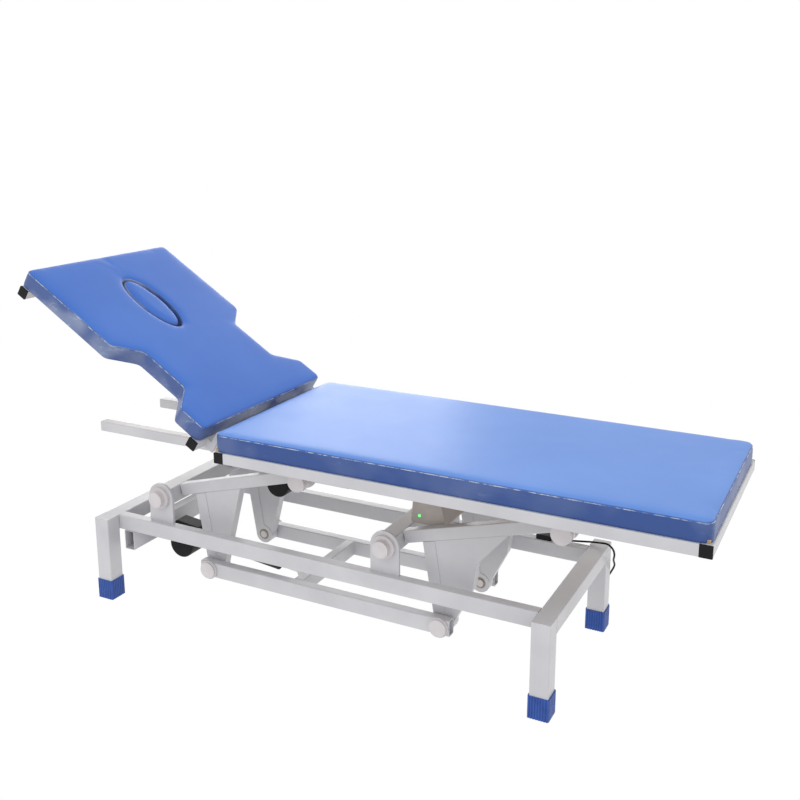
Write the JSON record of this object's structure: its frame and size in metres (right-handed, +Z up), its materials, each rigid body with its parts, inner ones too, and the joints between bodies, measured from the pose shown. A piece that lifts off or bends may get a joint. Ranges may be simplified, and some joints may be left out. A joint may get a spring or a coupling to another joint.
{
  "type": "medical exam table",
  "caption": "Electric height-adjustable exam and treatment table with a welded base, parallelogram lift, tilting head section with face hole and blue vinyl cushions.",
  "frame": {"origin": "Centre of the footprint of the table without its mains lead, on the floor.", "axes": "X runs from the head end to the foot end, Y across the table, Z up. The mains inlet is on the +Y side."},
  "size_m": [1.9944, 0.655, 0.9995],
  "materials": {
    "light_frame_paint": "satin",
    "blue_rubber": "matte",
    "cap_plastic": "satin",
    "black_plastic": "matte",
    "grey_plastic": "matte",
    "steel_bright": "satin",
    "bronze_bush": "satin",
    "blue_vinyl": "gloss",
    "plywood": "satin",
    "black_cord": "matte"
  },
  "bodies": {
    "base": {"base_legs": "light_frame_paint", "foot_caps": "blue_rubber", "base_end_rails": "light_frame_paint", "base_side_rails": "light_frame_paint", "actuator_beam": "light_frame_paint", "base_pivot_lugs": "light_frame_paint", "base_pivot_pins": "cap_plastic", "lift_rear_clevis": "light_frame_paint", "lift_rear_pin": "steel_bright", "mains_inlet_box": "black_plastic", "mains_strain_relief": "black_plastic", "mains_cord": "black_cord", "mains_coil": "black_cord", "mains_plug": "black_plastic"},
    "head_rocker": {"torsion_tube_head": "light_frame_paint", "lift_arms_head": "light_frame_paint", "levers_head": "light_frame_paint", "rocker_bushes_head": "bronze_bush"},
    "foot_rocker": {"torsion_tube_foot": "light_frame_paint", "lift_arms_foot": "light_frame_paint", "levers_foot": "light_frame_paint", "rocker_bushes_foot": "bronze_bush"},
    "sync_link": {"link_bars": "light_frame_paint", "link_cross_member": "light_frame_paint", "link_pivot_pins": "cap_plastic", "lift_rod_clevis": "light_frame_paint", "lift_rod_pin": "steel_bright"},
    "lift_actuator_housing": {"lift_gearbox": "black_plastic", "lift_motor": "black_plastic", "lift_outer_tube": "black_plastic"},
    "lift_actuator_rod": {"lift_push_rod": "steel_bright"},
    "upper_frame": {"frame_end_tubes": "light_frame_paint", "frame_end_plugs": "black_plastic", "frame_side_rails": "light_frame_paint", "frame_bearers": "light_frame_paint", "support_rails": "light_frame_paint", "rest_buffers": "black_plastic", "upper_pivot_lugs": "light_frame_paint", "upper_pivot_pins": "cap_plastic", "hinge_ears_frame": "light_frame_paint", "hinge_pins": "steel_bright", "control_box": "grey_plastic", "main_board": "plywood", "main_cushion": "blue_vinyl", "head_rod_bracket": "light_frame_paint", "head_rod_pin": "steel_bright", "head_push_rod": "steel_bright"},
    "head_section": {"head_hinge_tube": "light_frame_paint", "head_outer_tube_rail": "light_frame_paint", "head_end_plugs": "black_plastic", "head_side_tubes": "light_frame_paint", "head_board": "plywood", "head_cushion": "blue_vinyl", "head_actuator_lever": "light_frame_paint", "hinge_ears_head": "light_frame_paint", "head_lever_pin": "steel_bright"},
    "head_actuator_housing": {"head_gearbox": "black_plastic", "head_motor": "black_plastic", "head_outer_tube": "grey_plastic"},
    "face_plug": {"face_hole_plug": "blue_vinyl"}
  },
  "joints": [
    {"name": "lift", "type": "hinge", "parent": "base", "child": "head_rocker", "pos_m": [-0.59776, 0, 0.332], "axis": [0, -1, 0], "range_deg": [-13.5, 31.5]},
    {"name": "foot_lift", "type": "hinge", "parent": "base", "child": "foot_rocker", "pos_m": [0.14924, 0, 0.332], "axis": [0, -1, 0], "range_deg": [-13.5, 31.5]},
    {"name": "link_level", "type": "hinge", "parent": "head_rocker", "child": "sync_link", "pos_m": [-0.44976, 0, 0.124], "axis": [0, -1, 0], "range_deg": [-31.5, 13.5]},
    {"name": "frame_level", "type": "hinge", "parent": "head_rocker", "child": "upper_frame", "pos_m": [-0.11576, 0, 0.465], "axis": [0, -1, 0], "range_deg": [-31.5, 13.5]},
    {"name": "lift_actuator_swing", "type": "hinge", "parent": "base", "child": "lift_actuator_housing", "pos_m": [-0.67176, 0, 0.174], "axis": [0, -1, 0], "range_deg": [-5, 11.6]},
    {"name": "lift_rod_swing", "type": "hinge", "parent": "sync_link", "child": "lift_actuator_rod", "pos_m": [-0.19376, 0, 0.124], "axis": [0, -1, 0], "range_deg": [-5, 11.6]},
    {"name": "head_tilt", "type": "hinge", "parent": "upper_frame", "child": "head_section", "pos_m": [-0.33316, 0, 0.5814], "axis": [0, 1, 0], "range_deg": [-32, 30]},
    {"name": "head_actuator_level", "type": "hinge", "parent": "head_section", "child": "head_actuator_housing", "pos_m": [-0.33316, 0, 0.4254], "axis": [0, 1, 0], "range_deg": [-30, 32]},
    {"name": "face_plug_lift", "type": "slide", "parent": "head_section", "child": "face_plug", "axis": [0.5299, 0, 0.848], "range_m": [0, 0.1]}
  ],
  "couplings": [
    {"joint": "foot_lift", "follows": "lift", "ratio": 1},
    {"joint": "link_level", "follows": "lift", "ratio": -1},
    {"joint": "frame_level", "follows": "lift", "ratio": -1},
    {"joint": "lift_actuator_swing", "follows": "lift", "ratio": 0.365},
    {"joint": "lift_rod_swing", "follows": "lift", "ratio": 0.365},
    {"joint": "head_actuator_level", "follows": "head_tilt", "ratio": -1}
  ]
}
